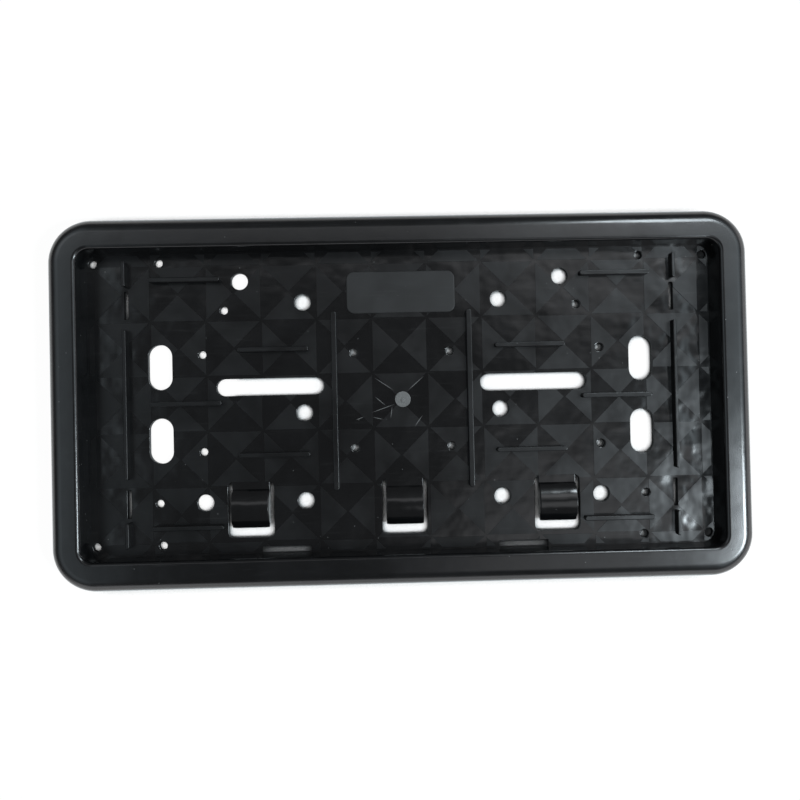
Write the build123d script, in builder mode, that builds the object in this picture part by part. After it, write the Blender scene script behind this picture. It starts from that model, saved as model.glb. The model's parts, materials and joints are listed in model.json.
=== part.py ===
from build123d import *
from math import sqrt
import os

# Number plate holder, moulded in one piece and lying on its back.
# +Z points out of the open front, +X runs along the plate, +Y towards its upper edge.
# All sizes are in millimetres.

# Plate, rim and panel
plate_length = 350.0
plate_height = 170.0
end_clearance = 2.5
edge_clearance = 0.5
rim_width = 17.3
holder_depth = 17.0
wall = 2.2
panel_thickness = 2.5
well_corner_radius = 7.0
shoulder_radius = 8.5
lip_radius = 2.0

well_length = plate_length + 2 * end_clearance
well_height = plate_height + 2 * edge_clearance
outer_length = well_length + 2 * rim_width
outer_height = well_height + 2 * rim_width
outer_corner_radius = well_corner_radius + rim_width
well_depth = holder_depth - panel_thickness
well_side = well_length / 2
well_edge = well_height / 2
hollow_chamfer = (2 - sqrt(2)) * (shoulder_radius - wall)

# Matt triangles that stand a little proud of the gloss ground
cell_size = 31.35
shift_x = -1.2
shift_y = -0.4
pattern_margin = 3.0
triangle_gap = 0.4
triangle_height = 0.2

# Ribs that carry the plate, as far forward as rib_height
rib_height = 4.4
rib_width = 2.6
rib_edge_chamfer = 0.4
short_rib_length = 40.0
outer_rib_x = 122.0
outer_rib_inset = 15.6
inner_rib_x = 72.8
inner_rib_y = 29.8
spine_x = 38.3
spine_width = 3.0
spine_length = 101.0
side_rib_inset = 21.7
side_rib_width = 2.0
side_rib_length = 84.5
side_stub_length = 14.2
side_stub_inset = 4.8

# Bare pad for a badge, and the disc left by the moulding gate
pad_length = 62.0
pad_height = 24.0
pad_corner_radius = 4.5
pad_inset = 12.2
pad_rise = 0.8
pad_edge_chamfer = 0.4
gate_diameter = 9.0
gate_rise = 0.4

# Fixing holes and slots: each hole has a twin across the centre line
screw_hole_diameter = 9.5
screw_holes = [(91.6, 69.0), (56.0, 56.5), (56.0, -6.5), (56.0, -56.5), (112.9, -56.5)]
pilot_hole_diameter = 4.4
pilot_holes = [(100.7, 52.6), (113.4, 27.6), (27.4, 27.2), (27.4, -27.2), (113.4, -27.6), (138.6, -56.3)]
edge_hole_inset = 5.4
edge_hole_x = 137.2
corner_hole_inset = 3.1
upright_slot_width = 13.4
upright_slot_length = 25.6
upright_slot_spacing = (274.4, 41.8)
level_slot_width = 9.7
level_slot_length = 61.0
level_slot_spacing = 150.2
level_slot_y = 8.7
slit_width = 2.4
slit_length = 16.0
slit_inset = 29.1
drain_width = 3.6
drain_length = 28.0
drain_spacing = 135.2

# Sprung tongues, each bowed forward in a window near the lower edge
tongue_count = 3
tongue_pitch = 87.3
tongue_width = 21.0
tongue_thickness = 2.0
tongue_land = 4.0
tongue_rise = 5.0
tongue_corner_radius = 2.0
side_slit = 2.5
tip_gap = 5.4
window_height = 31.3
window_inset = 8.9
window_corner_radius = 3.0

window_width = tongue_width + 2 * side_slit
window_bottom = window_inset - well_edge
window_top = window_bottom + window_height
tongue_tip = window_bottom + tip_gap
tongue_crease = window_top - tongue_land
tongue_root = window_top + tongue_thickness


def both_sides(points):
    """The points and their twins across the centre line."""
    return [(side * x, y) for side in (-1, 1) for x, y in points]


# One tongue: a flat land at its root, then a bow whose tip comes back to the panel
with BuildPart() as tongue:
    with BuildSketch(Plane.YZ):
        with BuildLine():
            land = Line((tongue_root, panel_thickness), (tongue_crease, panel_thickness))
            crest = ((tongue_crease + tongue_tip) / 2, panel_thickness + tongue_rise)
            ThreePointArc(land @ 1, crest, (tongue_tip, panel_thickness))
            offset(amount=tongue_thickness, side=Side.LEFT)
        make_face()
    extrude(amount=tongue_width / 2, both=True)
    tip_face = tongue.faces().sort_by(Axis.Y)[0]
    fillet(tip_face.edges().filter_by(Axis.X, reverse=True), tongue_corner_radius)

# Hollow of the rim, bevelled under the shoulder to keep the wall even there
with BuildPart() as hollow:
    with BuildSketch():
        RectangleRounded(outer_length - 2 * wall, outer_height - 2 * wall, outer_corner_radius - wall)
        RectangleRounded(
            well_length + 2 * wall, well_height + 2 * wall, well_corner_radius + wall, mode=Mode.SUBTRACT
        )
    extrude(amount=holder_depth - wall)
    ceiling = hollow.faces().sort_by(Axis.Z)[-1]
    chamfer(ceiling.outer_wire().edges(), hollow_chamfer)

with BuildPart() as plate_holder:
    # Rim block with a round outer shoulder
    with BuildSketch():
        RectangleRounded(outer_length, outer_height, outer_corner_radius)
    extrude(amount=holder_depth)
    front = plate_holder.faces().sort_by(Axis.Z)[-1]
    fillet(front.outer_wire().edges(), shoulder_radius)

    # Well that takes the plate, with a round lip
    with BuildSketch(Plane.XY.offset(panel_thickness)):
        RectangleRounded(well_length, well_height, well_corner_radius)
    extrude(amount=well_depth, mode=Mode.SUBTRACT)
    front = plate_holder.faces().sort_by(Axis.Z)[-1]
    fillet(front.inner_wires()[0].edges(), lip_radius)

    # Rim hollowed from behind
    add(hollow.part, mode=Mode.SUBTRACT)

    # Ribs
    with BuildSketch(Plane.XY.offset(panel_thickness)):
        outer_rib_y = well_edge - outer_rib_inset
        side_rib_x = well_side - side_rib_inset
        stub_y = well_edge - side_stub_inset - side_stub_length / 2
        with GridLocations(2 * outer_rib_x, outer_rib_y, 2, 3):
            Rectangle(short_rib_length, rib_width)
        with GridLocations(2 * inner_rib_x, 2 * inner_rib_y, 2, 2):
            Rectangle(short_rib_length, rib_width)
        with GridLocations(2 * spine_x, 0, 2, 1):
            Rectangle(spine_width, spine_length)
        with GridLocations(2 * side_rib_x, 0, 2, 1):
            Rectangle(side_rib_width, side_rib_length)
        with GridLocations(2 * side_rib_x, 2 * stub_y, 2, 2):
            Rectangle(side_rib_width, side_stub_length)
    extrude(amount=rib_height)
    rib_tops = plate_holder.faces().filter_by(Plane.XY).filter_by_position(
        Axis.Z, panel_thickness + rib_height, panel_thickness + rib_height
    )
    chamfer(rib_tops.edges(), rib_edge_chamfer)

    # Badge pad and gate disc
    pad_y = well_edge - pad_inset - pad_height / 2
    with BuildSketch(Plane.XY.offset(panel_thickness)):
        with Locations((0, pad_y)):
            RectangleRounded(pad_length, pad_height, pad_corner_radius)
    extrude(amount=pad_rise)
    pad_top = plate_holder.faces().filter_by(Plane.XY).filter_by_position(
        Axis.Z, panel_thickness + pad_rise, panel_thickness + pad_rise
    )
    chamfer(pad_top.edges(), pad_edge_chamfer)
    with BuildSketch(Plane.XY.offset(panel_thickness)):
        Circle(gate_diameter / 2)
    extrude(amount=gate_rise)

    # Matt triangles: two facing ones in each cell, turned a quarter from cell to cell
    columns = int(well_length / cell_size / 2) + 1
    rows = int(well_height / cell_size / 2) + 1
    cells = [(column, row) for column in range(-columns, columns + 1) for row in range(-rows, rows + 1)]
    base = cell_size / 2 - triangle_gap
    point = triangle_gap * sqrt(2)
    corner = base - point
    with BuildSketch(Plane.XY.offset(panel_thickness)):
        for turn in (0, 1):
            turned = [cell for cell in cells if sum(cell) % 2 == turn]
            with Locations(*[(shift_x + column * cell_size, shift_y + row * cell_size) for column, row in turned]):
                with PolarLocations(0, 2, start_angle=90 * turn):
                    Polygon((0, point), (-corner, base), (corner, base), align=None)
        Rectangle(well_length - 2 * pattern_margin, well_height - 2 * pattern_margin, mode=Mode.INTERSECT)
        with Locations((0, pad_y)):
            Rectangle(pad_length, pad_height, mode=Mode.SUBTRACT)
    extrude(amount=triangle_height)

    # Holes, slots, slits, drains and tongue windows, cut right through the panel
    with BuildSketch():
        edge_hole_y = well_edge - edge_hole_inset
        with Locations(*both_sides(screw_holes)):
            Circle(screw_hole_diameter / 2)
        with Locations(*both_sides(pilot_holes)):
            Circle(pilot_hole_diameter / 2)
        with GridLocations(2 * edge_hole_x, 2 * edge_hole_y, 2, 2):
            Circle(pilot_hole_diameter / 2)
        with GridLocations(2 * (well_side - corner_hole_inset), 2 * edge_hole_y, 2, 2):
            Circle(pilot_hole_diameter / 2)
        with GridLocations(*upright_slot_spacing, 2, 2):
            SlotOverall(upright_slot_length, upright_slot_width, rotation=90)
        with Locations((0, level_slot_y)):
            with GridLocations(level_slot_spacing, 0, 2, 1):
                SlotOverall(level_slot_length, level_slot_width)
        with GridLocations(2 * side_rib_x, 2 * (well_edge - slit_inset), 2, 2):
            Rectangle(slit_width, slit_length)
        with Locations((0, drain_width / 2 - well_edge)):
            with GridLocations(drain_spacing, 0, 2, 1):
                Rectangle(drain_length, drain_width)
        with Locations((0, window_bottom + window_height / 2)):
            with GridLocations(tongue_pitch, 0, tongue_count, 1):
                RectangleRounded(window_width, window_height, window_corner_radius)
    extrude(amount=panel_thickness + triangle_height, mode=Mode.SUBTRACT)

    with GridLocations(tongue_pitch, 0, tongue_count, 1):
        add(tongue.part)

plate_holder.part.label = "plate_holder"

os.makedirs("parts", exist_ok=True)
export_step(plate_holder.part, "parts/plate_holder.step")
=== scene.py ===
import json
from math import asin, cos, pi, radians

import bmesh
import bpy
from bpy.props import FloatProperty, FloatVectorProperty, PointerProperty
from mathutils import Matrix, Vector


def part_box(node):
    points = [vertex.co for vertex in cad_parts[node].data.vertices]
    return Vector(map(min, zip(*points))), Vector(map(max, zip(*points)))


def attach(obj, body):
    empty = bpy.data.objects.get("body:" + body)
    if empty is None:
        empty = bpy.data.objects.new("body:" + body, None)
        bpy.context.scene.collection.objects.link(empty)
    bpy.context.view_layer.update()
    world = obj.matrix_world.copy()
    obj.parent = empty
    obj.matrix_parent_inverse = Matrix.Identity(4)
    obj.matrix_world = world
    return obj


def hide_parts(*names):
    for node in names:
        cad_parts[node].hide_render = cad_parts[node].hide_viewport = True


bl_info = {
    "name": "Number plate holder",
    "version": (1, 0, 0),
    "blender": (4, 5, 0),
    "location": "3D View > Sidebar > Plate holder",
    "description": "Builds a moulded number plate holder over its packed frame, with its stage",
    "category": "Object",
}

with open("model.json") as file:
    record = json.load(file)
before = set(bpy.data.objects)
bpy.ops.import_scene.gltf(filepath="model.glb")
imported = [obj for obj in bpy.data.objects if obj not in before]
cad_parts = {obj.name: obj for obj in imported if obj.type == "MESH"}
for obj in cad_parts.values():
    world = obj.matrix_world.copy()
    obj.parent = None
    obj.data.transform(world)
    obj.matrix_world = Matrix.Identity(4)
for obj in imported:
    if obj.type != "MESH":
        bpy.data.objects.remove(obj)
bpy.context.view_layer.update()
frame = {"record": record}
NODE = "plate_holder"
PIECE = "holder_moulding"
MM = 0.001
RIM, GROUND, TRIANGLE, PAD, WORN = range(5)
LOW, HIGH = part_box(NODE)

# Places, half sizes and radii in millimetres. Each place has its twins across one or both centre lines.
SHORT_RIB_HALF = 20.0
OUTER_RIB = (122.0, 69.9)
INNER_RIB = (72.8, 29.8)
SPINE_X, SPINE_HALF = 38.3, 50.5
SIDE_RIB_X, SIDE_RIB_HALF = 155.8, 42.25
SIDE_STUB_Y, SIDE_STUB_HALF = 73.6, 7.1
SLIT_Y, SLIT_HALF = 56.4, (1.2, 8.0)
DRAIN, DRAIN_HALF = (67.6, -83.65), (14.0, 1.8)
NARROW_ROUND, NARROW_EDGE = 0.5, 0.15

# The same for what stands at the upright centre line. The tongues and their windows repeat to both sides of it.
PAD_Y, PAD_HALF, PAD_EDGE = 61.3, (31.0, 12.0), 0.6
GATE_EDGE = 0.25
NUB, NUB_RADIUS, NUB_EDGE = (0.2, -0.6), 1.3, 0.35
WINDOW_Y, WINDOW_HALF, WINDOW_ROUND = -60.95, (13.0, 15.65), 3.0
TONGUE_ROOT, TONGUE_CREASE, TONGUE_TIP = -43.3, -49.3, -71.2

# How far in millimetres a raised piece reaches into the panel, a cutter stands clear of it, and a land lies below it
SEAT, CLEAR, SUNK = 0.4, 0.02, 0.01
# Holes of a smaller radius in millimetres have wider edges, and scraps of a smaller area in square ones are dropped
SMALL_HOLE, SLIVER = 3.0, 4.0
# Rounds as shares of the room they have: the end of a rib, a cutter's edge, and the line past a block's edge
END_ROUND, CUT_ROUND, PAST_ROUND = 0.94, 0.97, 1.05
# Lengths in metres below which a run is left out or two points are one
TINY, TOUCH = 1e-7, 1e-6
# Angles in degrees between faces: at the corners of a tongue's tip, along its edges, and where shading stays sharp
TIP_ANGLE, EDGE_ANGLE, SHARP_ANGLE = 80, 60, 32


def length(name, description, millimetres):
    """A size that a user may change, given here in millimetres and kept in metres."""
    return FloatProperty(
        name=name, description=description, default=millimetres * MM, min=0.0, precision=5, unit="LENGTH"
    )


def share(name, description, default):
    """A plain factor from none to one."""
    return FloatProperty(name=name, description=description, default=default, min=0.0, max=1.0, subtype="FACTOR")


def tint(name, description, default):
    """A colour."""
    return FloatVectorProperty(
        name=name, description=description, default=default, size=3, min=0.0, max=1.0, subtype="COLOR"
    )


class HolderSizes(bpy.types.PropertyGroup):
    """Sizes of the moulding."""

    rim_width: length("Rim width", "From the well to the outside of the rim", 17.3)
    wall: length("Wall", "Thickness of the rim's walls", 2.2)
    panel: length("Panel", "Thickness of the panel across the back", 2.5)
    well_round: length("Well corner", "Corner radius of the well", 7.0)
    shoulder: length("Shoulder", "Radius of the rim's outer shoulder", 8.5)
    lip: length("Lip", "Radius of the rim's inner lip", 2.0)
    edge: length("Edge", "Radius on plain edges", 0.3)

    cell: length("Cell", "Side of one square of the triangle pattern", 31.35)
    shift: FloatVectorProperty(
        name="Pattern shift", description="Place of the middle cell", default=(-1.2 * MM, -0.4 * MM), size=2,
        precision=5, unit="LENGTH",
    )
    margin: length("Margin", "Plain strip between the pattern and the well's wall", 0.8)
    gap: length("Gap", "From a triangle to the edge of its quarter", 0.4)
    relief: length("Relief", "How far the matt triangles stand proud", 0.2)

    rib_height: length("Rib height", "How far the ribs stand off the panel", 4.4)
    rib_width: length("Rib width", "Thickness of the short ribs", 2.6)
    spine_width: length("Spine width", "Thickness of the two long ribs", 3.0)
    side_rib_width: length("Side rib width", "Thickness of the upright ribs near the ends", 2.0)
    rib_round: length("Rib edge", "Radius along the top of a rib", 0.45)

    pad_rise: length("Pad rise", "How far the badge pad stands off the panel", 0.8)
    pad_round: length("Pad corner", "Corner radius of the badge pad", 4.5)
    gate_width: length("Gate width", "Diameter of the disc left by the moulding gate", 9.0)
    gate_rise: length("Gate rise", "How far that disc stands off the panel", 0.4)

    tongue_width: length("Tongue width", "Width of a sprung tongue", 21.0)
    tongue_wall: length("Tongue thickness", "Thickness of a sprung tongue", 2.0)
    tongue_rise: length("Tongue rise", "How far a tongue bows forward", 5.0)
    tongue_round: length("Tongue corner", "Radius of the corners at a tongue's tip", 2.0)
    tongue_pitch: length("Tongue pitch", "From one tongue to the next", 87.3)


class HolderFinish(bpy.types.PropertyGroup):
    """Colours and finishes of the plastic."""

    rim_colour: tint("Rim", "Colour of the rim", (0.0022, 0.0024, 0.0027))
    ground_colour: tint("Ground", "Colour of the gloss ground", (0.0022, 0.0023, 0.0025))
    triangle_colour: tint("Triangles", "Colour of the matt triangles", (0.0023, 0.0024, 0.0026))
    pad_colour: tint("Pad", "Colour of the badge pad", (0.0106, 0.0106, 0.0106))
    worn_colour: tint("Worn", "Colour of whitened plastic and dust", (0.26, 0.26, 0.255))
    gate_colour: tint("Gate", "Colour of the disc left by the moulding gate", (0.089, 0.089, 0.087))
    rim_rough: share("Rim roughness", "Roughness of the rim", 0.22)
    ground_rough: share("Ground roughness", "Roughness of the gloss ground", 0.17)
    triangle_rough: share("Triangle roughness", "Roughness of the matt triangles", 0.36)
    pad_rough: share("Pad roughness", "Roughness of the badge pad", 0.55)
    gate_rough: share("Gate roughness", "Roughness of the disc left by the moulding gate", 0.55)
    gloss: share("Gloss", "How strongly the plastic mirrors its surroundings", 0.50)
    triangle_gloss: share("Triangle gloss", "How strongly the matt triangles mirror them", 0.34)
    pad_gloss: share("Pad gloss", "How strongly the badge pad mirrors them", 0.32)


class HolderStage(bpy.types.PropertyGroup):
    """Floor, light and camera."""

    eye: FloatVectorProperty(
        name="Camera place", description="Where the camera stands", default=(-0.00804, -0.00376, 0.35763), size=3,
        precision=4, unit="LENGTH",
    )
    lens: FloatProperty(name="Lens", description="Focal length in mm on a 36 mm sensor", default=27.99, min=1.0)
    floor_colour: tint("Floor", "Colour of the floor", (0.86, 0.86, 0.85))
    key_colour: tint("Key colour", "Colour of the large soft light", (0.84, 0.94, 1.0))
    overhead_colour: tint("Overhead colour", "Colour of the light from above", (0.96, 0.97, 1.0))
    side_colour: tint("Side colour", "Colour of the light from both ends", (0.78, 0.92, 1.0))
    base_light: share("Base light", "Strength of the even light all round", 0.16)
    key_power: FloatProperty(name="Key power", description="Power of the large soft light in watts", default=12.1)


def settings():
    """The scene's sizes, finish and stage settings."""
    scene = bpy.context.scene
    return scene.holder_sizes, scene.holder_finish, scene.holder_stage


# Meshes


def sweep(bm, corners, rounds, half_x, half_y, radius, place=(0.0, 0.0), steps=8, segments=4, finish=GROUND):
    """Adds a solid: a line of (across, up) corners, some of them rounded, is taken round a rectangle with round
    corners, and its two ends are closed with flat faces."""
    own = bmesh.new()
    reach = Vector((half_x - radius, half_y - radius, 0.0))
    line = [own.verts.new((half_x + across, -reach.y, up)) for across, up in corners]
    for first, second in zip(line, line[1:]):
        own.edges.new((first, second))
    for index, offset in rounds.items():
        bmesh.ops.bevel(
            own, geom=[line[index]], offset=offset, offset_type="OFFSET", segments=segments, profile=0.5,
            affect="VERTICES", material=-1,
        )
    geom = own.verts[:] + own.edges[:]
    for quarter, (side_x, side_y) in enumerate(((1, 1), (-1, 1), (-1, -1), (1, -1))):
        run = 2 * (reach.x if quarter % 2 else reach.y)
        if run > TINY:
            along = Matrix.Rotation(quarter * pi / 2, 3, "Z") @ Vector((0.0, run, 0.0))
            geom = bmesh.ops.spin(
                own, geom=geom, cent=(0, 0, 0), axis=(0, 0, 1), dvec=along, angle=0.0, steps=1
            )["geom_last"]
        turn = (reach.x * side_x, reach.y * side_y, 0.0)
        geom = bmesh.ops.spin(
            own, geom=geom, cent=turn, axis=(0, 0, 1), dvec=(0, 0, 0), angle=pi / 2, steps=steps
        )["geom_last"]
    bmesh.ops.remove_doubles(own, verts=own.verts, dist=TOUCH)
    bmesh.ops.holes_fill(own, edges=[e for e in own.edges if e.is_boundary], sides=0)
    for face in own.faces:
        face.material_index = finish
    bmesh.ops.translate(own, verts=own.verts, vec=(*place, 0.0))
    mesh = bpy.data.meshes.new("swept")
    own.to_mesh(mesh)
    own.free()
    bm.from_mesh(mesh)
    bpy.data.meshes.remove(mesh)


def boss(bm, place, half_x, half_y, radius, top, edge, steps=6, finish=GROUND):
    """Adds a block that stands on the panel, with its upper edge rounded."""
    panel = settings()[0].panel
    corners = [(0.0, panel - SEAT * MM), (0.0, top), (-PAST_ROUND * edge, top)]
    sweep(bm, corners, {1: edge}, half_x, half_y, radius, place, steps=steps, finish=finish)


def cutter(bm, place, half_x, half_y, radius, edge, steps=8):
    """Adds a plug that cuts an opening through the panel and leaves its edges rounded."""
    panel = settings()[0].panel
    low, high = -CLEAR * MM, panel + CLEAR * MM
    corners = [(edge, -MM), (edge, low), (0.0, low), (0.0, high), (edge, high), (edge, panel + MM)]
    rounded = CUT_ROUND * edge
    sweep(bm, corners, {2: rounded, 3: rounded}, half_x, half_y, radius, place, steps=steps)


def new_object(name, bm):
    """Makes a mesh object of a bmesh, with the moulding's finishes."""
    bmesh.ops.recalc_face_normals(bm, faces=bm.faces)
    mesh = bpy.data.meshes.new(name)
    bm.to_mesh(mesh)
    bm.free()
    for finish in finishes():
        mesh.materials.append(finish)
    made = bpy.data.objects.new(name, mesh)
    bpy.context.scene.collection.objects.link(made)
    return made


def combine(bm, operation):
    """Joins a bmesh to the moulding, or cuts it out of it."""
    moulding = bpy.data.objects.get(PIECE)
    if moulding is None:
        raise RuntimeError("the tray comes first: there is no moulding to work on")
    tool = new_object("tool", bm)
    change = moulding.modifiers.new("combine", "BOOLEAN")
    change.object = tool
    change.operation = operation
    change.solver = "MANIFOLD"
    graph = bpy.context.evaluated_depsgraph_get()
    mesh = bpy.data.meshes.new_from_object(moulding.evaluated_get(graph), depsgraph=graph)
    moulding.modifiers.clear()
    old, tool_mesh = moulding.data, tool.data
    if len(mesh.polygons) <= len(old.polygons):
        raise RuntimeError(f"nothing came of the step {operation} on the moulding")
    moulding.data = mesh
    bpy.data.objects.remove(tool)
    bpy.data.meshes.remove(tool_mesh)
    bpy.data.meshes.remove(old)
    mesh.name = PIECE


def metres(millimetres):
    """A row of lengths in metres."""
    return [value * MM for value in millimetres]


def both_sides(x, y):
    """A place and its twin across the upright centre line."""
    return [(-x, y), (x, y)]


def four_sides(x, y):
    """A place and its three twins across both centre lines."""
    return [(side * x, up * y) for side in (-1, 1) for up in (-1, 1)]


# Finishes


def node(tree, kind, sockets=None, **values):
    """Adds a shader node, sets its values, and links or sets its sockets."""
    made = tree.nodes.new(kind)
    for key, value in values.items():
        setattr(made, key, value)
    for key, value in (sockets or {}).items():
        if isinstance(value, bpy.types.NodeSocket):
            tree.links.new(value, made.inputs[key])
        else:
            made.inputs[key].default_value = value
    return made


def reckon(tree, operation, first, second=0.0, clamp=False):
    """One step of arithmetic in a shader, on one value or two."""
    return node(tree, "ShaderNodeMath", {0: first, 1: second}, operation=operation, use_clamp=clamp).outputs[0]


def spread(tree, value, low, high, to_low=0.0, to_high=1.0):
    """Spreads values from one range to another, smoothly and within bounds."""
    sockets = {"Value": value, "From Min": low, "From Max": high, "To Min": to_low, "To Max": to_high}
    return node(tree, "ShaderNodeMapRange", sockets, interpolation_type="SMOOTHSTEP").outputs[0]


def noise(tree, place, scale, detail=2.0, distortion=0.0):
    """Cloudy noise on the object's own coordinates."""
    sockets = {"Vector": place, "Scale": scale, "Detail": detail, "Roughness": 0.55, "Distortion": distortion}
    return node(tree, "ShaderNodeTexNoise", sockets).outputs[0]


def streaks(tree, place, angle, along, across, low, high):
    """Fine lines in one direction, such as rubbing leaves."""
    upright = 200.0
    sockets = {"Vector": place, "Rotation": (0.0, 0.0, radians(angle)), "Scale": (along, across, upright)}
    turned = node(tree, "ShaderNodeMapping", sockets).outputs[0]
    return spread(tree, noise(tree, turned, 1.0, 1.0), low, high)


def specks(tree, place, scale, size, few):
    """Small separate dots, such as dust."""
    cells = node(tree, "ShaderNodeTexVoronoi", {"Vector": place, "Scale": scale})
    chosen = node(tree, "ShaderNodeSeparateColor", {"Color": cells.outputs["Color"]}).outputs[0]
    core = 0.4 * size
    dot = spread(tree, cells.outputs["Distance"], size, core)
    return reckon(tree, "MULTIPLY", dot, reckon(tree, "GREATER_THAN", chosen, few))


def bumps(tree, height, depth, under=None):
    """Bumps of a depth in metres, on top of others if these are given."""
    sockets = {"Height": height, "Strength": 1.0, "Distance": depth}
    if under is not None:
        sockets["Normal"] = under
    return node(tree, "ShaderNodeBump", sockets).outputs[0]


# Scratches round the moulding gate: middle and half length in millimetres, angle in degrees
SCRATCHES = [
    (-24.6, -10.4, 2.2, 20.0), (-11.2, -5.0, 6.4, 19.0), (-12.8, -0.8, 3.6, -41.0),
    (-6.6, -7.4, 3.2, 82.0), (-14.2, -10.6, 2.7, -13.0), (8.8, -12.6, 3.6, 54.0),
    (-10.5, 8.9, 6.0, -34.0), (7.8, 9.1, 5.6, 41.0),
]
# Half width of a scratch in millimetres, how much further it fades out, and the part of its reach that is full
SCRATCH_HALF_WIDTH, SCRATCH_FADE, SCRATCH_CORE = 0.22, 1.25, 0.4


def scratches(tree, place):
    """Thin pointed marks, full in the middle and fading out all round."""
    total = 0.0
    for x, y, half, angle in SCRATCHES:
        sockets = {
            "Vector": place, "Location": (x * MM, y * MM, 0.0), "Rotation": (0.0, 0.0, radians(angle)),
            "Scale": (SCRATCH_FADE * half * MM, SCRATCH_HALF_WIDTH * MM, 1.0),
        }
        own = node(tree, "ShaderNodeMapping", sockets, vector_type="TEXTURE").outputs[0]
        flat = node(tree, "ShaderNodeVectorMath", {0: own, 1: (1.0, 1.0, 0.0)}, operation="MULTIPLY").outputs[0]
        away = node(tree, "ShaderNodeVectorMath", {0: flat}, operation="LENGTH").outputs["Value"]
        mark = spread(tree, away, 1.0, SCRATCH_CORE)
        total = reckon(tree, "MAXIMUM", mark, total)
    return total


# Rubbing: angle in degrees, scale along and across, levels of the noise where a line starts and is full
RUBBING = [(24.0, 45.0, 1500.0, 0.66, 0.80), (-37.0, 60.0, 1700.0, 0.68, 0.82)]
# Dust: scale of its cells, size of a dot in a cell, share of the cells that stay clean
DUST = (210.0, 0.055, 0.62)
# Strength of rubbing and of scratches beside dust, and how far marks change the colour and the roughness
RUB_MARK, SCRATCH_MARK, MARK_COLOUR, MARK_ROUGH = 0.04, 0.65, 0.6, 0.3
# Clouds: scale, detail and distortion, levels of the noise, and factors that these give to colour and roughness
CLOUD, CLOUD_LEVELS, CLOUD_SHADE, CLOUD_ROUGH = (38.0, 4.0, 0.6), (0.3, 0.7), (0.82, 1.18), (0.85, 1.15)
# Scales of the slow waves and the fine grain
WAVE_SCALE, GRAIN_SCALE = 55.0, 1400.0
# Where along X in metres the waves of a marked finish grow, and how many times deeper they get
CRUMPLED, CRUMPLED_DEPTH = (0.115, 0.165), 3.0


def plastic(name, colour, rough, gloss, wave, grain, marked=False):
    """Moulded plastic: slow waves and fine grain, cloudy colour and roughness, rubbing and dust. A marked finish
    has scratches too, and deeper waves towards one end."""
    material = bpy.data.materials.new(name)
    material.use_nodes = True
    tree = material.node_tree
    shader = tree.nodes["Principled BSDF"]
    shader.inputs["Specular IOR Level"].default_value = gloss
    place = node(tree, "ShaderNodeTexCoord").outputs["Object"]
    cloud = noise(tree, place, *CLOUD)

    rubbed = reckon(tree, "MAXIMUM", *(streaks(tree, place, *kind) for kind in RUBBING))
    marks = reckon(tree, "MAXIMUM", specks(tree, place, *DUST), reckon(tree, "MULTIPLY", rubbed, RUB_MARK))
    if marked:
        scratched = reckon(tree, "MULTIPLY", scratches(tree, place), SCRATCH_MARK)
        marks = reckon(tree, "MAXIMUM", marks, scratched)

    shade = spread(tree, cloud, *CLOUD_LEVELS, *CLOUD_SHADE)
    toned = node(
        tree, "ShaderNodeVectorMath", {0: tuple(colour), "Scale": shade}, operation="SCALE"
    ).outputs[0]
    worn = (*settings()[1].worn_colour, 1.0)
    sockets = {"Factor": reckon(tree, "MULTIPLY", marks, MARK_COLOUR), "A": toned, "B": worn}
    mixed = node(tree, "ShaderNodeMix", sockets, data_type="RGBA")
    tree.links.new(mixed.outputs["Result"], shader.inputs["Base Color"])

    roughness = spread(tree, cloud, *CLOUD_LEVELS, *(rough * factor for factor in CLOUD_ROUGH))
    roughness = reckon(tree, "ADD", roughness, reckon(tree, "MULTIPLY", marks, MARK_ROUGH), True)
    tree.links.new(roughness, shader.inputs["Roughness"])

    depth = wave * MM
    if marked:
        along = node(tree, "ShaderNodeSeparateXYZ", {0: place}).outputs["X"]
        depth = spread(tree, along, *CRUMPLED, depth, CRUMPLED_DEPTH * depth)
    normal = bumps(tree, noise(tree, place, WAVE_SCALE), depth)
    normal = bumps(tree, noise(tree, place, GRAIN_SCALE), grain * MM, normal)
    tree.links.new(normal, shader.inputs["Normal"])
    return material


def finishes():
    """The moulding's finishes, in the order of its material slots."""
    own = settings()[1]
    # Name, colour, roughness, gloss, depth in millimetres of the waves and of the grain, whether marked
    kinds = [
        ("rim_plastic", own.rim_colour, own.rim_rough, own.gloss, 0.10, 0.004),
        ("ground_plastic", own.ground_colour, own.ground_rough, own.gloss, 0.55, 0.003, True),
        ("triangle_plastic", own.triangle_colour, own.triangle_rough, own.triangle_gloss, 0.40, 0.012, True),
        ("pad_plastic", own.pad_colour, own.pad_rough, own.pad_gloss, 0.08, 0.010),
        ("worn_plastic", own.gate_colour, own.gate_rough, own.gloss, 0.12, 0.20),
    ]
    return [bpy.data.materials.get(kind[0]) or plastic(*kind) for kind in kinds]


# Stage

# Patches of light in the surroundings: direction, outer and inner reach in degrees, strength
OVERHEAD = [
    ((0.0, 1.0, 0.0), 76.8, 73.5, 0.84), ((0.0, 1.0, 0.0), 67.0, 60.0, -0.80),
    ((0.34, 0.31, 0.89), 17.0, 5.0, 0.81), ((0.30, -0.28, 0.91), 17.0, 5.0, 0.93),
]
SIDES = [((-1.0, 0.0, 0.0), 68.0, 61.0, 0.96), ((1.0, 0.0, 0.0), 67.0, 55.0, 1.86)]
HORIZON = [((0.6, -0.8, 0.0), 100.0, 70.0, 1.40)]
# Heights, as the upward part of a direction, over which the horizon ends and the higher patches begin
HORIZON_FADE, PATCH_FADE = (0.24, 0.36), (0.36, 0.78)

# Lamps: place in metres, power as a multiple of the key light's
KEY = ((0.87, -0.28, 0.79), 1.0)
UPPER_FILL = ((0.56, 0.62, 0.80), 0.45)
FLOOR_LIGHT = ((2.1, -0.75, 2.0), 13.0)
LAMP_SIZE = 0.28

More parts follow.
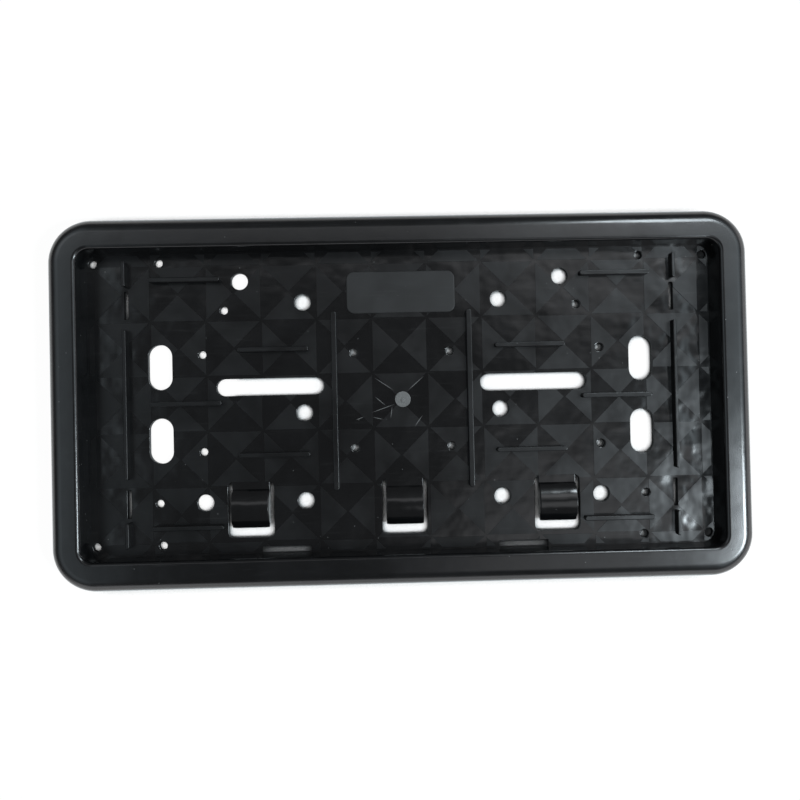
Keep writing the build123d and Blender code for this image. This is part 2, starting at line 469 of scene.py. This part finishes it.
# The camera's directions to its right and backwards
CAMERA_RIGHT = (0.99960, -0.02166, 0.01799)
CAMERA_BACK = (-0.01819, -0.00939, 0.99979)

# Floor: half size in metres, and how far in millimetres it lies below the moulding
FLOOR_HALF, FLOOR_DROP = 4.0, 0.1
# Reach in millimetres of the painted shade close to the moulding, and of the wider painted shade that its gloss
# mirrors
NEAR_PAINTED_SHADE_REACH, WIDE_PAINTED_SHADE_REACH = 12.0, 60.0
# Open share of the view from the floor where it turns white to the camera, loses its painted shade, and turns white
# in gloss
WHITE_FROM, WHITE_MOST = (0.56, 0.70), 0.97
PAINTED_SHADE_TO, PAINTED_SHADE_LEAST = (0.42, 0.75), 0.10
MIRRORED_FROM = (0.80, 0.985)
# The painted light on the floor seen through the small holes at the left, which makes them show white: its lift, the
# ends in millimetres along X over which this fades, how they lean with Y, the distances from the slits, and the sides
# of the well over which it fades as well
PAINTED_LIGHT_LIFT, PAINTED_LIGHT_ENDS, PAINTED_LIGHT_LEAN = 0.32, (-104.0, -92.0), 0.25
PAINTED_LIGHT_OFF_SLITS, PAINTED_LIGHT_WELL_Y, PAINTED_LIGHT_WELL_X = (4.0, 8.0), (83.5, 86.0), (-179.5, -178.0)


# Operators


class HOLDER_OT_tray(bpy.types.Operator):
    """Mould the hollow rim and the panel in one shell"""

    bl_idname = "holder.tray"
    bl_label = "Mould tray"

    def execute(self, context):
        sizes = settings()[0]
        depth = HIGH.z - LOW.z
        well_x = HIGH.x - sizes.rim_width
        well_y = HIGH.y - sizes.rim_width
        inner, outer = sizes.wall, sizes.rim_width - sizes.wall
        ceiling = depth - sizes.wall
        # The line starts and ends on the panel, a little inside the well, and flat faces close it there
        inset = -5.0 * MM
        corners = [
            (inset, sizes.panel), (0.0, sizes.panel), (0.0, depth), (sizes.rim_width, depth), (sizes.rim_width, 0.0),
            (outer, 0.0), (outer, ceiling), (inner, ceiling), (inner, 0.0), (inset, 0.0),
        ]
        rounds = {
            2: sizes.lip, 3: sizes.shoulder, 4: sizes.edge, 5: sizes.edge, 6: sizes.shoulder - sizes.wall,
            8: sizes.edge,
        }
        bm = bmesh.new()
        sweep(bm, corners, rounds, well_x, well_y, sizes.well_round, steps=24, segments=10, finish=RIM)
        for face in bm.faces:
            middle = face.calc_center_median()
            inside = abs(middle.x) < well_x and abs(middle.y) < well_y
            if inside and middle.z < sizes.panel + 0.1 * MM:
                face.material_index = GROUND
        moulding = new_object(PIECE, bm)
        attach(moulding, "root")
        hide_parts(NODE)
        return {"FINISHED"}


class HOLDER_OT_triangles(bpy.types.Operator):
    """Raise the matt triangles, two facing ones in each cell, turned a quarter from cell to cell"""

    bl_idname = "holder.triangles"
    bl_label = "Raise triangles"

    def execute(self, context):
        sizes = settings()[0]
        # Quarters of the cells of a grid that is larger than the well: every other one is kept, and drawn in
        across, up = 13, 7
        bm = bmesh.new()
        bmesh.ops.create_grid(bm, x_segments=across, y_segments=up, size=0.5)
        bmesh.ops.scale(bm, verts=bm.verts, vec=(across * sizes.cell, up * sizes.cell, 1.0))
        bmesh.ops.poke(bm, faces=bm.faces)
        dropped = []
        for face in bm.faces:
            middle = face.calc_center_median() / sizes.cell
            column, row = round(middle.x), round(middle.y)
            upright = abs(middle.y - row) > abs(middle.x - column)
            if upright == bool((column + row) % 2):
                dropped.append(face)
        bmesh.ops.delete(bm, geom=dropped, context="FACES")
        ring = bmesh.ops.inset_individual(bm, faces=bm.faces[:], thickness=sizes.gap, use_even_offset=True)
        bmesh.ops.delete(bm, geom=ring["faces"], context="FACES")
        bmesh.ops.translate(bm, verts=bm.verts, vec=(*sizes.shift, sizes.panel - SEAT * MM))

        # What lies past the margin is cut off, and the rest is raised
        reach = Vector((HIGH.x, HIGH.y, 0.0)) - Vector((1, 1, 0)) * (sizes.rim_width + sizes.margin)
        for way in (Vector((1, 0, 0)), Vector((-1, 0, 0)), Vector((0, 1, 0)), Vector((0, -1, 0))):
            bmesh.ops.bisect_plane(
                bm, geom=bm.verts[:] + bm.edges[:] + bm.faces[:], dist=TINY, plane_co=way * abs(way.dot(reach)),
                plane_no=way, clear_outer=True,
            )
        slivers = [face for face in bm.faces if face.calc_area() < SLIVER * MM * MM]
        bmesh.ops.delete(bm, geom=slivers, context="FACES")
        raised = bmesh.ops.extrude_face_region(bm, geom=bm.faces[:], use_keep_orig=True)["geom"]
        tops = [element for element in raised if isinstance(element, bmesh.types.BMVert)]
        bmesh.ops.translate(bm, verts=tops, vec=(0.0, 0.0, SEAT * MM + sizes.relief))
        for face in bm.faces:
            face.material_index = TRIANGLE
        combine(bm, "UNION")
        return {"FINISHED"}


class HOLDER_OT_ribs(bpy.types.Operator):
    """Raise the ribs that carry the plate"""

    bl_idname = "holder.ribs"
    bl_label = "Raise ribs"

    def execute(self, context):
        sizes = settings()[0]
        short = (SHORT_RIB_HALF * MM, sizes.rib_width / 2)
        side = sizes.side_rib_width / 2
        groups = [
            (four_sides(*OUTER_RIB) + both_sides(OUTER_RIB[0], 0.0) + four_sides(*INNER_RIB), short),
            (both_sides(SPINE_X, 0.0), (sizes.spine_width / 2, SPINE_HALF * MM)),
            (both_sides(SIDE_RIB_X, 0.0), (side, SIDE_RIB_HALF * MM)),
            (four_sides(SIDE_RIB_X, SIDE_STUB_Y), (side, SIDE_STUB_HALF * MM)),
        ]
        top = sizes.panel + sizes.rib_height
        bm = bmesh.new()
        for places, (half_x, half_y) in groups:
            radius = END_ROUND * min(half_x, half_y)
            for place in places:
                boss(bm, metres(place), half_x, half_y, radius, top, sizes.rib_round, finish=TRIANGLE)
        combine(bm, "UNION")
        return {"FINISHED"}


class HOLDER_OT_pad(bpy.types.Operator):
    """Raise the bare badge pad and the disc left by the moulding gate"""

    bl_idname = "holder.pad"
    bl_label = "Raise pad and gate"

    def execute(self, context):
        sizes = settings()[0]
        pad_top, disc_top, nub_top = (
            sizes.panel + rise for rise in (sizes.pad_rise, sizes.gate_rise, 2 * sizes.gate_rise)
        )
        disc, nub = sizes.gate_width / 2, NUB_RADIUS * MM
        # Place, half sizes, corner radius, top, edge, steps round a corner, finish
        blocks = [
            ((0.0, PAD_Y * MM), *metres(PAD_HALF), sizes.pad_round, pad_top, PAD_EDGE * MM, 10, PAD),
            ((0.0, 0.0), disc, disc, disc, disc_top, GATE_EDGE * MM, 12, WORN),
            (metres(NUB), nub, nub, nub, nub_top, NUB_EDGE * MM, 8, WORN),
        ]
        for block in blocks:
            bm = bmesh.new()
            boss(bm, *block)
            combine(bm, "UNION")
        return {"FINISHED"}


class HOLDER_OT_openings(bpy.types.Operator):
    """Cut the holes and slots that the record lists, then the slits, drains and tongue windows"""

    bl_idname = "holder.openings"
    bl_label = "Cut openings"

    def execute(self, context):
        sizes = settings()[0]
        bm = bmesh.new()
        # A slot runs the way its row does, if that is along X, and upright if not
        for mount in frame["record"]["mounts"]:
            if mount["kind"] != "bolt_pattern":
                continue
            dims = mount["dims"]
            middle = Vector(mount["pos_m"])
            step_x = dims.get("spacing_x_mm", 0.0) * MM / 2
            step_y = dims.get("spacing_y_mm", 0.0) * MM / 2
            radius = dims["hole_r_mm"] * MM
            slot = dims.get("slot_length_mm", 2 * dims["hole_r_mm"]) * MM / 2
            half_x, half_y = (slot, radius) if step_x else (radius, slot)
            edge = sizes.edge if radius > SMALL_HOLE * MM else 2 * sizes.edge
            for x, y in sorted(set(four_sides(step_x, step_y))):
                cutter(bm, (middle.x + x, middle.y + y), half_x, half_y, radius, edge, 12)
        narrow = [(place, SLIT_HALF) for place in four_sides(SIDE_RIB_X, SLIT_Y)]
        narrow += [(place, DRAIN_HALF) for place in both_sides(*DRAIN)]
        for place, half in narrow:
            cutter(bm, metres(place), *metres(half), NARROW_ROUND * MM, NARROW_EDGE * MM, 4)
        for x in (-sizes.tongue_pitch, 0.0, sizes.tongue_pitch):
            cutter(bm, (x, WINDOW_Y * MM), *metres(WINDOW_HALF), WINDOW_ROUND * MM, sizes.edge)
        combine(bm, "DIFFERENCE")
        return {"FINISHED"}


class HOLDER_OT_tongues(bpy.types.Operator):
    """Add the three sprung tongues, each bowed forward in its window"""

    bl_idname = "holder.tongues"
    bl_label = "Add tongues"

    def execute(self, context):
        sizes = settings()[0]
        root, crease, tip = metres((TONGUE_ROOT, TONGUE_CREASE, TONGUE_TIP))
        half_span = (crease - tip) / 2
        bow = (half_span ** 2 + sizes.tongue_rise ** 2) / (2 * sizes.tongue_rise)
        middle = Vector((0.0, (crease + tip) / 2, sizes.panel + sizes.tongue_rise - bow))
        half_turn = asin(half_span / bow)

        # The section at the crease is taken round the bow to the tip
        bm = bmesh.new()
        bmesh.ops.create_grid(bm, x_segments=1, y_segments=1, size=0.5)
        bmesh.ops.delete(bm, geom=bm.faces[:], context="FACES_ONLY")
        bmesh.ops.rotate(bm, verts=bm.verts, cent=(0, 0, 0), matrix=Matrix.Rotation(pi / 2, 3, "X"))
        bmesh.ops.scale(bm, verts=bm.verts, vec=(sizes.tongue_width, 1.0, sizes.tongue_wall))
        bmesh.ops.translate(bm, verts=bm.verts, vec=middle + Vector((0.0, 0.0, bow - sizes.tongue_wall / 2)))
        bmesh.ops.rotate(bm, verts=bm.verts, cent=middle, matrix=Matrix.Rotation(-half_turn, 3, "X"))
        start = bm.verts[:] + bm.edges[:]
        bmesh.ops.spin(bm, geom=start, cent=middle, axis=(1, 0, 0), angle=2 * half_turn, steps=28)

        # A flat land joins the crease to the panel
        start = [element for element in start if isinstance(element, bmesh.types.BMEdge)]
        land = bmesh.ops.extrude_edge_only(bm, edges=start)["geom"]
        for vert in land:
            if isinstance(vert, bmesh.types.BMVert):
                upper = (vert.co - middle).length > bow - sizes.tongue_wall / 2
                vert.co.y = root
                vert.co.z = sizes.panel - (SUNK * MM if upper else sizes.tongue_wall)
        bmesh.ops.holes_fill(bm, edges=[e for e in bm.edges if e.is_boundary], sides=0)
        bmesh.ops.recalc_face_normals(bm, faces=bm.faces)

        # The corners of the tip are rounded, then all edges
        near_tip = tip + 1.5 * sizes.tongue_wall
        corners = [
            e for e in bm.edges
            if all(v.co.y < near_tip for v in e.verts) and abs(e.verts[0].co.x - e.verts[1].co.x) < TOUCH
            and e.calc_face_angle(0.0) > radians(TIP_ANGLE)
            and abs(e.calc_length() - sizes.tongue_wall) < 10 * TOUCH
        ]
        bmesh.ops.bevel(
            bm, geom=corners, offset=sizes.tongue_round, offset_type="OFFSET", segments=6, profile=0.5,
            affect="EDGES", material=-1,
        )
        outline = [e for e in bm.edges if e.calc_face_angle(0.0) > radians(EDGE_ANGLE)]
        bmesh.ops.bevel(
            bm, geom=outline, offset=sizes.edge, offset_type="OFFSET", segments=3, profile=0.5, affect="EDGES",
            material=-1,
        )
        for face in bm.faces:
            face.material_index = GROUND

        # Its twins stand at both sides
        one = bm.verts[:] + bm.edges[:] + bm.faces[:]
        for side in (-1, 1):
            twin = bmesh.ops.duplicate(bm, geom=one)["geom"]
            moved = [element for element in twin if isinstance(element, bmesh.types.BMVert)]
            bmesh.ops.translate(bm, verts=moved, vec=(side * sizes.tongue_pitch, 0.0, 0.0))
        combine(bm, "UNION")
        return {"FINISHED"}


class HOLDER_OT_shade(bpy.types.Operator):
    """Smooth the moulding's round surfaces and keep its flat ones flat"""

    bl_idname = "holder.shade"
    bl_label = "Shade moulding"

    def execute(self, context):
        moulding = bpy.data.objects[PIECE]
        mesh = moulding.data
        mesh.shade_smooth()
        mesh.set_sharp_from_angle(angle=radians(SHARP_ANGLE))
        flat = moulding.modifiers.new("flat_faces", "WEIGHTED_NORMAL")
        flat.keep_sharp = True
        flat.weight = 80
        return {"FINISHED"}


class HOLDER_OT_stage(bpy.types.Operator):
    """Set up the floor, the lights and the camera"""

    bl_idname = "holder.stage"
    bl_label = "Set stage"

    def execute(self, context):
        stage = settings()[2]
        scene = context.scene
        scene.view_settings.view_transform = "Standard"

        bm = bmesh.new()
        bmesh.ops.create_grid(bm, x_segments=1, y_segments=1, size=FLOOR_HALF)
        bmesh.ops.translate(bm, verts=bm.verts, vec=(0.0, 0.0, -FLOOR_DROP * MM))
        mesh = bpy.data.meshes.new("floor")
        bm.to_mesh(mesh)
        bm.free()
        floor = bpy.data.objects.new("floor", mesh)
        scene.collection.objects.link(floor)
        mesh.materials.append(self.floor_finish(stage))

        scene.world = self.surroundings(stage)
        moulding = bpy.data.objects[PIECE]
        self.lamp("key", moulding, *KEY, stage).use_shadow = False
        self.lamp("upper_fill", moulding, *UPPER_FILL, stage).use_shadow = False
        self.lamp("floor_light", floor, *FLOOR_LIGHT, stage)

        camera = bpy.data.cameras.new("camera")
        camera.sensor_width = 36.0
        camera.sensor_fit = "HORIZONTAL"
        camera.lens = stage.lens
        camera.clip_start = 0.01
        eye = bpy.data.objects.new("camera", camera)
        right = Vector(CAMERA_RIGHT).normalized()
        back = Vector(CAMERA_BACK)
        back = (back - back.dot(right) * right).normalized()
        turn = Matrix((right, back.cross(right), back)).transposed()
        eye.matrix_world = Matrix.Translation(stage.eye) @ turn.to_4x4()
        scene.collection.objects.link(eye)
        scene.camera = eye
        return {"FINISHED"}

    def surroundings(self, stage):
        """An even light all round, with soft patches above, at both ends and along the horizon."""
        world = bpy.data.worlds.new("studio")
        world.use_nodes = True
        tree = world.node_tree
        way = node(tree, "ShaderNodeTexCoord").outputs["Generated"]
        height = node(tree, "ShaderNodeSeparateXYZ", {0: way}).outputs["Z"]
        high = spread(tree, height, *PATCH_FADE)
        low = spread(tree, height, *HORIZON_FADE, 1.0, 0.0)
        above, beside, below = (
            reckon(tree, "MULTIPLY", self.patches(tree, way, listed), part)
            for listed, part in ((OVERHEAD, high), (SIDES, high), (HORIZON, low))
        )
        above = reckon(tree, "ADD", reckon(tree, "ADD", above, stage.base_light), below)
        backdrop = tree.nodes["Background"]
        tree.links.new(above, backdrop.inputs["Strength"])
        backdrop.inputs["Color"].default_value = (*stage.overhead_colour, 1.0)
        walls = node(tree, "ShaderNodeBackground", {"Color": (*stage.side_colour, 1.0), "Strength": beside})
        both = node(tree, "ShaderNodeAddShader", {0: backdrop.outputs[0], 1: walls.outputs[0]})
        tree.links.new(both.outputs[0], tree.nodes["World Output"].inputs["Surface"])
        return world

    def floor_finish(self, stage):
        """A pale floor, white to the camera and in reflections, that takes the floor lamp's shadow; with painted
        shade where little of the view from it is open, and painted light in the small holes at the left.
        """
        material = bpy.data.materials.new("pale_floor")
        material.use_nodes = True
        tree = material.node_tree
        tree.nodes.clear()
        path = node(tree, "ShaderNodeLightPath").outputs
        camera = path["Is Camera Ray"]
        # Painted shade: how open the view is from each point of the floor, close by and over a wider reach
        near, wide = (
            node(tree, "ShaderNodeAmbientOcclusion", {"Distance": reach * MM}, samples=8).outputs["AO"]
            for reach in (NEAR_PAINTED_SHADE_REACH, WIDE_PAINTED_SHADE_REACH)
        )
        # Painted light: the floor under the small holes at the left counts as more open, so the camera sees it white
        # there
        painted_light = reckon(tree, "MULTIPLY", self.painted_hole_light(tree), camera)
        # Painted shade: where little of the view is open, the white fades and the floor's colour darkens
        white_less_painted_shade = spread(tree, reckon(tree, "ADD", near, painted_light), *WHITE_FROM, 0.0, WHITE_MOST)
        painted_shade = spread(tree, near, *PAINTED_SHADE_TO, PAINTED_SHADE_LEAST, 1.0)
        colour = node(
            tree, "ShaderNodeVectorMath", {0: tuple(stage.floor_colour), "Scale": painted_shade}, operation="SCALE"
        ).outputs[0]
        matt = node(tree, "ShaderNodeBsdfDiffuse", {"Color": colour}).outputs[0]
        white = node(tree, "ShaderNodeEmission", {"Color": (1.0, 1.0, 1.0, 1.0), "Strength": 1.0}).outputs[0]
        seen = reckon(tree, "MAXIMUM", camera, path["Is Glossy Ray"])
        seen = reckon(tree, "MAXIMUM", seen, path["Is Transmission Ray"])
        # Painted shade in reflections: near the moulding the white fades over the wider reach and the lamp-lit floor
        # shows
        clear = reckon(tree, "MAXIMUM", spread(tree, wide, *MIRRORED_FROM), camera)
        shown = reckon(tree, "MULTIPLY", reckon(tree, "MULTIPLY", seen, white_less_painted_shade), clear)
        mixed = node(tree, "ShaderNodeMixShader", {0: shown, 1: matt, 2: white})
        node(tree, "ShaderNodeOutputMaterial", {"Surface": mixed.outputs[0]})
        return material

    def painted_hole_light(self, tree):
        """Painted light: how much more open the floor counts, and so how much whiter it shows, under the small holes
        at the left of the well, off the slits.
        """
        place = node(tree, "ShaderNodeTexCoord").outputs["Object"]
        x, y, _ = node(tree, "ShaderNodeSeparateXYZ", {0: place}).outputs
        leftward = reckon(tree, "SUBTRACT", x, reckon(tree, "MULTIPLY", y, PAINTED_LIGHT_LEAN))
        off_slits = reckon(tree, "ABSOLUTE", reckon(tree, "ADD", x, SIDE_RIB_X * MM))
        painted_light = spread(tree, leftward, *metres(PAINTED_LIGHT_ENDS), PAINTED_LIGHT_LIFT, 0.0)
        for limit in (
            spread(tree, off_slits, *metres(PAINTED_LIGHT_OFF_SLITS)),
            spread(tree, reckon(tree, "ABSOLUTE", y), *metres(PAINTED_LIGHT_WELL_Y), 1.0, 0.0),
            spread(tree, x, *metres(PAINTED_LIGHT_WELL_X)),
        ):
            painted_light = reckon(tree, "MULTIPLY", painted_light, limit)
        return painted_light

    def patches(self, tree, way, listed):
        """Soft round patches of the surroundings, each about one direction."""
        level = 0.0
        for middle, outer, inner, strength in listed:
            towards = node(
                tree, "ShaderNodeVectorMath", {0: way, 1: Vector(middle).normalized()}, operation="DOT_PRODUCT"
            ).outputs["Value"]
            patch = spread(tree, towards, cos(radians(outer)), cos(radians(inner)), 0.0, strength)
            level = reckon(tree, "ADD", patch, level)
        return level

    def lamp(self, name, lit, place, part, stage):
        """A soft light that faces the middle of the stage and lights one object only."""
        light = bpy.data.lights.new(name, "AREA")
        light.shape = "SQUARE"
        light.size = LAMP_SIZE
        light.energy = part * stage.key_power
        light.color = stage.key_colour
        made = bpy.data.objects.new(name, light)
        made.location = place
        made.rotation_euler = Vector(place).to_track_quat("Z", "Y").to_euler()
        bpy.context.scene.collection.objects.link(made)
        group = bpy.data.collections.new(f"lit_by_{name}")
        group.objects.link(lit)
        made.light_linking.receiver_collection = group
        return light


class HOLDER_PT_panel(bpy.types.Panel):
    """Lists the steps and the settings of the plate holder"""

    bl_idname = "HOLDER_PT_panel"
    bl_label = "Plate holder"
    bl_space_type = "VIEW_3D"
    bl_region_type = "UI"
    bl_category = "Plate holder"

    def draw(self, context):
        for step in STEPS:
            self.layout.operator(step.bl_idname)
        for group in settings():
            box = self.layout.box()
            for key in group.__annotations__:
                box.prop(group, key)


STEPS = [
    HOLDER_OT_tray, HOLDER_OT_triangles, HOLDER_OT_ribs, HOLDER_OT_pad, HOLDER_OT_openings, HOLDER_OT_tongues,
    HOLDER_OT_shade, HOLDER_OT_stage,
]
CLASSES = [HolderSizes, HolderFinish, HolderStage, *STEPS, HOLDER_PT_panel]


def register():
    for kind in CLASSES:
        bpy.utils.register_class(kind)
    bpy.types.Scene.holder_sizes = PointerProperty(type=HolderSizes)
    bpy.types.Scene.holder_finish = PointerProperty(type=HolderFinish)
    bpy.types.Scene.holder_stage = PointerProperty(type=HolderStage)


def unregister():
    del bpy.types.Scene.holder_stage
    del bpy.types.Scene.holder_finish
    del bpy.types.Scene.holder_sizes
    for kind in reversed(CLASSES):
        bpy.utils.unregister_class(kind)


def main():
    """Builds the holder and its stage."""
    register()
    bpy.ops.holder.tray()
    bpy.ops.holder.triangles()
    bpy.ops.holder.ribs()
    bpy.ops.holder.pad()
    bpy.ops.holder.openings()
    bpy.ops.holder.tongues()
    bpy.ops.holder.shade()
    bpy.ops.holder.stage()


if __name__ == "__main__":
    main()
